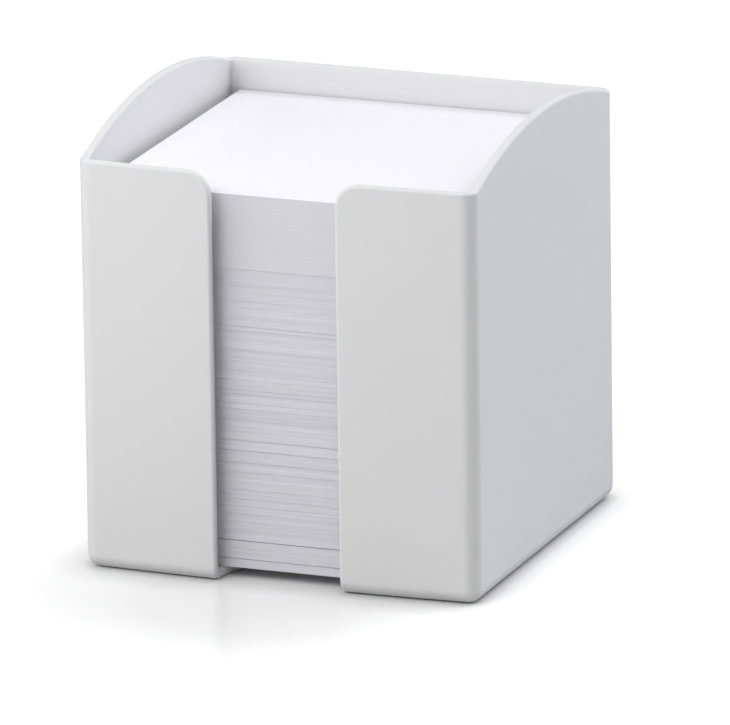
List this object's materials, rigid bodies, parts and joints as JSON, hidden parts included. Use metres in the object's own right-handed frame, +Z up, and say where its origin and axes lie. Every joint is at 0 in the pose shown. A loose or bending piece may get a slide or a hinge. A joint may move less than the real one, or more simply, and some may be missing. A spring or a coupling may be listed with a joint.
{
  "type": "memo note holder",
  "caption": "Open-topped square desk box of grey plastic with a full-height finger slot in front and an arched rim, filled with loose white notes.",
  "frame": {"origin": "middle of the box's footprint, on the desk", "axes": "+Z up, the slotted front faces -Y, +X to the right of someone who looks at the front"},
  "size_m": [0.1, 0.0978, 0.109],
  "materials": {
    "grey_plastic": "satin injection-moulded polystyrene, light grey",
    "white_paper": "uncoated 80 g office paper, bluish white"
  },
  "bodies": {
    "box": {"note_box": "grey_plastic"},
    "lower_notes": {"note_bundle_01": "white_paper", "note_bundle_02": "white_paper", "note_bundle_03": "white_paper", "note_bundle_04": "white_paper", "note_bundle_05": "white_paper", "note_bundle_06": "white_paper", "note_bundle_07": "white_paper", "note_bundle_08": "white_paper", "note_bundle_09": "white_paper", "note_bundle_10": "white_paper", "note_bundle_11": "white_paper", "note_bundle_12": "white_paper", "note_bundle_13": "white_paper", "note_bundle_14": "white_paper", "note_bundle_15": "white_paper", "note_bundle_16": "white_paper", "note_bundle_17": "white_paper", "note_bundle_18": "white_paper", "note_bundle_19": "white_paper", "note_bundle_20": "white_paper", "note_bundle_21": "white_paper", "note_bundle_22": "white_paper", "note_bundle_23": "white_paper", "note_bundle_24": "white_paper"},
    "upper_notes": {"note_bundle_25": "white_paper", "note_bundle_26": "white_paper"},
    "top_note": {"top_sheet": "white_paper"}
  },
  "joints": [
    {"name": "lower_notes_lift", "type": "slide", "parent": "box", "child": "lower_notes", "axis": [0, 0, 1], "range_m": [0, 0.112]},
    {"name": "upper_notes_lift", "type": "slide", "parent": "lower_notes", "child": "upper_notes", "axis": [0, 0, 1], "range_m": [0, 0.038]},
    {"name": "top_note_lift", "type": "slide", "parent": "upper_notes", "child": "top_note", "axis": [0, 0, 1], "range_m": [0, 0.02]}
  ]
}
